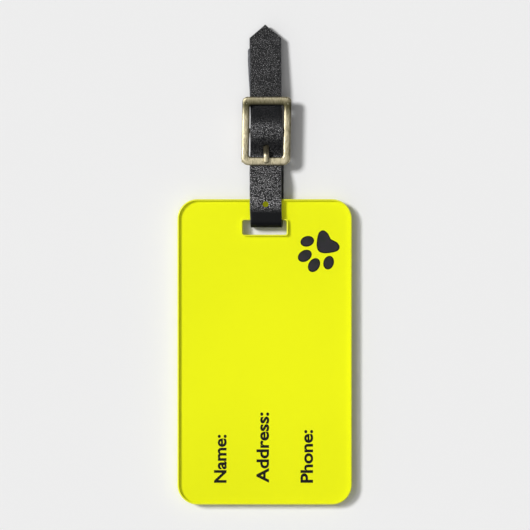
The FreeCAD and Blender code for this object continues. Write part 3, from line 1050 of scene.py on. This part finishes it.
def brass_material():
    """Antique brass: brushed one way, patches of dark patina, worn bright at sharp edges, and drawn
    toward dark patina where the points' tone carries painted shade.
    """
    m = Shader("antique_brass")
    strokes = m.noise(m.scaled(0.16, 1.6, 1.6), 3, 0.65)
    scratches = m.noise(m.scaled(0.06, 2.6, 2.6), 2, 0.5)
    patina = m.noise(m.scaled(1.5), 4, 0.6, 0.6)
    pits = m.noise(m.scaled(0.22), 3, 0.6)
    geometry = m.node("ShaderNodeNewGeometry")
    edge = m.ramp(geometry.outputs["Pointiness"], 0.49, 0.56)
    brass_tone_and_painted_light = m.attribute("brass_tone_and_painted_light")
    tone = m.mix(m.ramp(strokes, 0.3, 0.7), (0.40, 0.35, 0.21), (0.76, 0.68, 0.48))
    aged = m.mix(m.ramp(patina, 0.48, 0.72, 0.0, 0.5), tone, (0.18, 0.16, 0.08))
    # Painted shade and light: a low tone draws the brass toward dark patina.
    patina_and_painted_light = m.mix(m.ramp(m.math("ADD", brass_tone_and_painted_light, m.math("MULTIPLY", strokes, 0.3)), 0.12, 1.0),
                   (0.05, 0.045, 0.015), aged)
    color = m.mix(m.math("MULTIPLY", edge, 0.35), patina_and_painted_light, (0.72, 0.67, 0.52))
    height = m.math("ADD", m.math("MULTIPLY", strokes, 0.7), m.math("MULTIPLY", scratches, 0.4))
    height = m.math("ADD", height, m.math("MULTIPLY", pits, 0.35))
    roughness = m.ramp(m.math("ADD", patina, strokes), 0.7, 1.3, 0.30, 0.48)
    m.surface(Base_Color=color, Metallic=1.0, Roughness=roughness, Normal=m.bump(height, 0.035))
    return m.material


def steel_material():
    """The centre bar: drawn wire, dulled."""
    m = Shader("bar_steel")
    draw = m.noise(m.scaled(2.5, 0.12, 0.12), 2, 0.5)
    color = m.mix(m.ramp(draw, 0.3, 0.7), (0.28, 0.27, 0.23), (0.5, 0.48, 0.42))
    m.surface(Base_Color=color, Metallic=1.0, Roughness=0.42, Normal=m.bump(draw, 0.02))
    return m.material


def print_material():
    """Yellow printed film: a fine dot screen under a smooth surface, with painted shade toward the
    card's bottom end and a painted glow.
    """
    m = Shader("yellow_print")
    ink = m.noise(m.scaled(0.3), 2, 0.5)
    cloud = m.noise(m.scaled(45, 60, 45), 1, 0.5)
    base = m.mix(m.ramp(cloud, 0.3, 0.7), (0.88, 0.90, 0.002), (0.92, 0.94, 0.002))
    color = m.mix(m.ramp(ink, 0.35, 0.65, 0.0, 0.10), base, (0.83, 0.85, 0.002))
    # Painted shade: the print darkens toward the card's bottom end.
    along = m.node("ShaderNodeSeparateXYZ")
    m.link(m.place, along.inputs[0])
    shade = m.ramp(along.outputs[1], -0.072, -0.035, 0.05, 0.0)
    deep = m.mix(shade, color, (0.0, 0.0, 0.0))
    # Painted glow: the print emits a little light of its own.
    m.surface(Base_Color=deep, Roughness=0.55, Specular_IOR_Level=0.1, Normal=m.bump(ink, 0.004),
              Emission_Color=(0.95, 0.97, 0.004, 1), Emission_Strength=PRINT_PAINTED_GLOW)
    return m.material


def core_material():
    """White film between the prints."""
    m = Shader("white_core")
    grain = m.noise(m.scaled(0.4), 3, 0.5)
    color = m.mix(grain, (0.80, 0.80, 0.76), (0.92, 0.92, 0.88))
    m.surface(Base_Color=color, Roughness=0.6, Normal=m.bump(grain, 0.01))
    return m.material


def acrylic_material():
    """Clear polished acrylic: what is under it shows, with a gloss on top."""
    m = Shader("clear_acrylic")
    haze = m.noise(m.scaled(9), 2, 0.5)
    clear = m.node("ShaderNodeBsdfTransparent")
    clear.inputs["Color"].default_value = (0.985, 0.99, 0.98, 1)
    gloss = m.node("ShaderNodeBsdfGlossy")
    m.link(m.ramp(haze, 0.3, 0.7, 0.02, 0.04), gloss.inputs["Roughness"])
    tilt = m.node("ShaderNodeLayerWeight").outputs["Facing"]
    grazing = m.math("MULTIPLY", m.math("POWER", tilt, 5.0), SHEEN_GRAZING)
    sheen = m.math("ADD", grazing, SHEEN_FLAT)
    mix = m.node("ShaderNodeMixShader")
    m.link(sheen, mix.inputs[0])
    m.link(clear.outputs[0], mix.inputs[1])
    m.link(gloss.outputs[0], mix.inputs[2])
    m.link(mix.outputs[0], m.out.inputs["Surface"])
    return m.material


def acrylic_edge_material(name, low, high):
    """The polished edge, opaque and painted in the print's colour, as painted light standing in for
    the print seen through clear acrylic.
    """
    m = Shader(name)
    saw = m.noise(m.scaled(0.5, 0.5, 0.08), 2, 0.5)
    color = m.mix(saw, low, high)
    m.surface(Base_Color=color, Roughness=0.28, Specular_IOR_Level=0.35, Normal=m.bump(saw, 0.01))
    return m.material


def ink_material():
    """Black ink, laid a little unevenly."""
    m = Shader("print_ink")
    lay = m.noise(m.scaled(0.2), 2, 0.5)
    color = m.mix(lay, (0.004, 0.004, 0.003), (0.012, 0.012, 0.009))
    m.surface(Base_Color=color, Roughness=0.5, Specular_IOR_Level=0.1, Normal=m.bump(lay, 0.003))
    return m.material


def paw_fill_material():
    """Charcoal ink in a fine check."""
    m = Shader("paw_check")
    check = m.node("ShaderNodeTexChecker")
    check.inputs["Scale"].default_value = 1.0
    m.link(m.scaled(0.45, 0.45, 100), check.inputs["Vector"])
    soft = m.noise(m.scaled(1.6), 2, 0.5)
    tint = m.mix(m.ramp(soft, 0.35, 0.65), (0.030, 0.031, 0.034), (0.044, 0.038, 0.052))
    color = m.mix(m.math("MULTIPLY", check.outputs["Fac"], 0.55), tint, (0.014, 0.015, 0.013))
    m.surface(Base_Color=color, Roughness=0.5, Specular_IOR_Level=0.1)
    return m.material


def thread_material():
    """Waxed black thread, with its plies along it."""
    m = Shader("waxed_thread")
    ply = m.noise(m.scaled(0.2, 0.06, 0.06), 2, 0.5)
    color = m.mix(ply, (0.012, 0.012, 0.012), (0.05, 0.05, 0.05))
    m.surface(Base_Color=color, Roughness=0.5, Normal=m.bump(ply, 0.03))
    return m.material


LEATHER = leather_material()
LEATHER_EDGE = leather_edge_material()
LEATHER_BACK = leather_back_material()
BRASS = brass_material()
STEEL = steel_material()
PRINT = print_material()
CORE = core_material()
ACRYLIC = acrylic_material()
ACRYLIC_RIM = acrylic_edge_material("acrylic_rim", (0.86, 0.88, 0.02), (0.92, 0.94, 0.04))
ACRYLIC_EDGE = acrylic_edge_material("acrylic_edge", (0.48, 0.49, 0.13), (0.58, 0.59, 0.20))
INK = ink_material()
PAW_FILL = paw_fill_material()
THREAD = thread_material()


def dress_cad_nodes():
    """CAD nodes whose shape is right keep it and get a finished material."""
    finishes = {"front_print": PRINT, "back_print": PRINT, "card_core": CORE, "centre_bar": STEEL}
    for name, material in finishes.items():
        obj = bpy.data.objects[name]
        for slot in obj.material_slots:
            slot.material = material


# ---------------------------------------------------------------- stage, light, camera

FLOOR_TONE = 0.9
KEY_SLOPE = Vector((-0.69, 0.31, 1.0))
KEY_STRENGTH = 2.55
KEY_ANGLE = 13.0
RING_LIGHT = 0.88
RING_OUT = math.cos(math.radians(31))
RING_IN = math.cos(math.radians(7))
RING_SOFT = 0.03
LENS_SOFT = 0.004
HORIZON_WAY = (-0.5, -0.4, 0)
HORIZON_LIGHT = 0.45
SKY_LIGHT = 0.1
FLOOR_HALF = 8000
SENSOR = 36
VIEW_WIDTH = 154.2
CAMERA_X, CAMERA_Y = 0.1, -0.12
CAMERA_DISTANCE = 1200.0


def make_floor():
    """A plain matt surface under the tag."""
    m = Shader("studio_floor")
    mottle = m.noise(m.scaled(30), 2, 0.5)
    color = m.mix(mottle, (FLOOR_TONE - 0.003,) * 3, (FLOOR_TONE + 0.003,) * 3)
    m.surface(Base_Color=color, Roughness=0.9, Specular_IOR_Level=0.0)
    corners = [(x * FLOOR_HALF, y * FLOOR_HALF, 0) for x, y in ((-1, -1), (1, -1), (1, 1), (-1, 1))]
    floor = mesh_object("studio_floor", corners, [(0, 1, 2, 3)], smooth=False)
    floor.data.materials.append(m.material)


def make_light():
    """A soft key light, and a sky with a ring of light overhead and a faint side light."""
    key = bpy.data.lights.new("key", "SUN")
    key.energy = KEY_STRENGTH
    key.angle = math.radians(KEY_ANGLE)
    lamp = linked_object("key", key)
    lamp.rotation_mode = "QUATERNION"
    lamp.rotation_quaternion = KEY_SLOPE.to_track_quat("Z", "Y")

    world = bpy.data.worlds.new("studio")
    world.use_nodes = True
    bpy.context.scene.world = world
    nodes, links = world.node_tree.nodes, world.node_tree.links
    nodes.clear()
    out = nodes.new("ShaderNodeOutputWorld")
    sky = nodes.new("ShaderNodeBackground")
    links.new(sky.outputs[0], out.inputs[0])
    way = nodes.new("ShaderNodeTexCoord").outputs["Generated"]

    def toward(direction, low, high, amount):
        """Light that rises as a direction is faced."""
        dot = nodes.new("ShaderNodeVectorMath")
        dot.operation = "DOT_PRODUCT"
        dot.inputs[1].default_value = Vector(direction).normalized()
        links.new(way, dot.inputs[0])
        fade = nodes.new("ShaderNodeMapRange")
        fade.interpolation_type = "SMOOTHSTEP"
        fade.inputs["From Min"].default_value = low
        fade.inputs["From Max"].default_value = high
        fade.inputs["To Max"].default_value = amount
        links.new(dot.outputs["Value"], fade.inputs["Value"])
        return fade.outputs["Result"]

    def add(a, b):
        """The sum of an output and another output or a number."""
        node = nodes.new("ShaderNodeMath")
        links.new(a, node.inputs[0])
        if hasattr(b, "links"):
            links.new(b, node.inputs[1])
        else:
            node.inputs[1].default_value = b
        return node.outputs[0]

    tent = toward((0, 0, 1), RING_OUT, RING_OUT + RING_SOFT, RING_LIGHT)
    lens_hole = toward((0, 0, 1), RING_IN - LENS_SOFT, RING_IN, -RING_LIGHT)
    horizon = toward(HORIZON_WAY, 0.2, 0.9, HORIZON_LIGHT)
    links.new(add(add(add(tent, lens_hole), horizon), SKY_LIGHT), sky.inputs["Strength"])


def make_camera():
    """A long lens straight above the tag."""
    data = bpy.data.cameras.new("camera")
    data.sensor_width = SENSOR
    data.lens = SENSOR * (CAMERA_DISTANCE - CARD_HIGH.z) / VIEW_WIDTH
    data.clip_start = 0.01
    data.clip_end = 50
    camera = linked_object("camera", data)
    camera.location = (CAMERA_X * MM, CAMERA_Y * MM, CAMERA_DISTANCE * MM)
    bpy.context.scene.camera = camera
    bpy.context.scene.view_settings.view_transform = "Standard"


make_camera()
make_floor()
make_light()
make_strap()
make_stitches()
make_frame()
make_prong()
make_card()
dress_cad_nodes()
